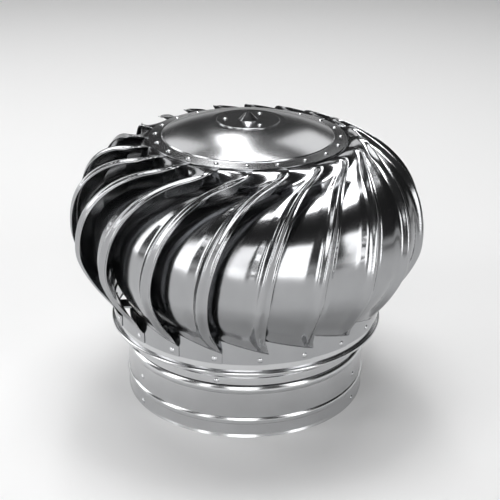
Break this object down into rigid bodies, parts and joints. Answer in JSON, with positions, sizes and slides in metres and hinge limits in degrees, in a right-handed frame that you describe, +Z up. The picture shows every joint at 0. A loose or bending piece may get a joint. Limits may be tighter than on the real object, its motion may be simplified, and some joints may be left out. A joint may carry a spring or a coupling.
{
  "type": "roof turbine ventilator",
  "caption": "Polished steel roof turbine: a ball of swept, ribbed vanes under a domed cap turns on a shaft in a beaded round throat.",
  "frame": {"origin": "bottom centre of the throat, on the turning axis", "axes": "+Z up along the shaft and the turning axis; -Y towards the picture's viewer"},
  "size_m": [0.4252, 0.4252, 0.3495],
  "materials": {
    "polished_sheet": "polished",
    "fastener_steel": "polished",
    "machined_steel": "satin"
  },
  "bodies": {
    "base": {"throat_tube": "polished_sheet", "throat_collar": "polished_sheet", "bracket_leg_1": "polished_sheet", "bracket_leg_2": "polished_sheet", "bracket_leg_3": "polished_sheet", "leg_rivets": "fastener_steel", "collar_rivets": "fastener_steel", "shaft_hub": "machined_steel", "hub_rivets": "fastener_steel", "shaft": "machined_steel", "shaft_washer": "fastener_steel", "shaft_nut": "fastener_steel", "lower_inner_race": "machined_steel", "upper_inner_race": "machined_steel"},
    "turbine": {"cap_dome": "polished_sheet", "bearing_plate": "polished_sheet", "plate_bolts": "fastener_steel", "bearing_cap": "machined_steel", "upper_housing": "machined_steel", "upper_outer_race": "machined_steel", "lower_housing": "machined_steel", "lower_outer_race": "machined_steel", "rotor_arm_1": "polished_sheet", "rotor_arm_2": "polished_sheet", "rotor_arm_3": "polished_sheet", "rotor_arm_4": "polished_sheet", "arm_rivets": "fastener_steel", "rotor_ring": "polished_sheet", "ring_rivets": "fastener_steel", "cap_rivets": "fastener_steel", "vane_01": "polished_sheet", "vane_02": "polished_sheet", "vane_03": "polished_sheet", "vane_04": "polished_sheet", "vane_05": "polished_sheet", "vane_06": "polished_sheet", "vane_07": "polished_sheet", "vane_08": "polished_sheet", "vane_09": "polished_sheet", "vane_10": "polished_sheet", "vane_11": "polished_sheet", "vane_12": "polished_sheet", "vane_13": "polished_sheet", "vane_14": "polished_sheet", "vane_15": "polished_sheet", "vane_16": "polished_sheet", "vane_17": "polished_sheet", "vane_18": "polished_sheet", "vane_19": "polished_sheet", "vane_20": "polished_sheet"}
  },
  "joints": [
    {"name": "turbine_spin", "type": "hinge", "parent": "base", "child": "turbine", "pos_m": [0, 0, 0.112], "axis": [0, 0, 1], "continuous": true}
  ]
}
